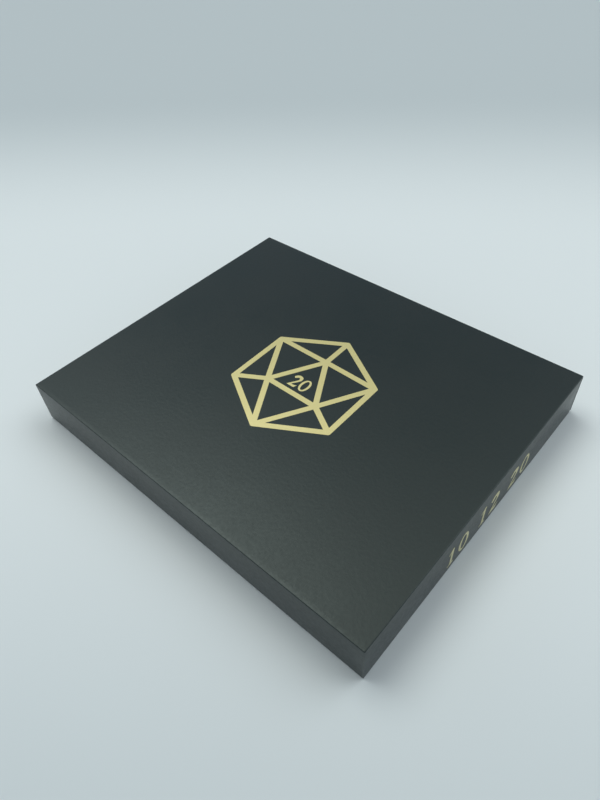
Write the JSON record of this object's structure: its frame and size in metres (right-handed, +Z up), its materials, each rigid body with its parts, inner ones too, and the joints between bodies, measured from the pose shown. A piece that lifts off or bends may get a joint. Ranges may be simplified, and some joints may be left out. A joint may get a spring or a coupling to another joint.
{
  "type": "folding dice tray",
  "caption": "Flat paper-wrapped box that opens on a double-folded spine into a felt-lined dice tray and a second rolling area in its lid.",
  "frame": {"origin": "middle of the underside, on the table", "axes": "+X along the spine, to the right seen from the front; +Y from the opening front to the spine; +Z up"},
  "size_m": [0.24, 0.199, 0.0285],
  "materials": {
    "wrap_paper": "satin charcoal covering paper",
    "grey_board": "uncoated grey board",
    "felt": "pressed felt",
    "magnet": "nickel-plated",
    "gold_foil": "hot-stamped pale gold foil"
  },
  "bodies": {
    "base": {"bottom_board": "grey_board", "bottom_wrap": "wrap_paper", "bottom_lining": "wrap_paper", "tray_floor_board": "grey_board", "tray_front_wall": "grey_board", "tray_back_wall": "grey_board", "tray_left_wall": "grey_board", "tray_right_wall": "grey_board", "tray_wrap": "wrap_paper", "tray_felt": "felt", "tray_magnets": "magnet"},
    "spine": {"spine_board": "grey_board", "spine_wrap": "wrap_paper", "spine_lining": "wrap_paper", "upper_fold": "wrap_paper", "lower_fold": "wrap_paper"},
    "lid": {"lid_board": "grey_board", "lid_front_wall": "grey_board", "lid_left_wall": "grey_board", "lid_right_wall": "grey_board", "lid_wrap": "wrap_paper", "lid_lining": "wrap_paper", "lid_felt": "felt", "lid_magnets": "magnet"}
  },
  "joints": [
    {"name": "spine_fold", "type": "hinge", "parent": "base", "child": "spine", "pos_m": [0, 0.0995, 0], "axis": [-1, 0, 0], "range_deg": [0, 90], "deforming": ["lower_fold"]},
    {"name": "lid_fold", "type": "hinge", "parent": "spine", "child": "lid", "pos_m": [0, 0.0995, 0.0285], "axis": [-1, 0, 0], "range_deg": [0, 90], "deforming": ["upper_fold"]}
  ]
}
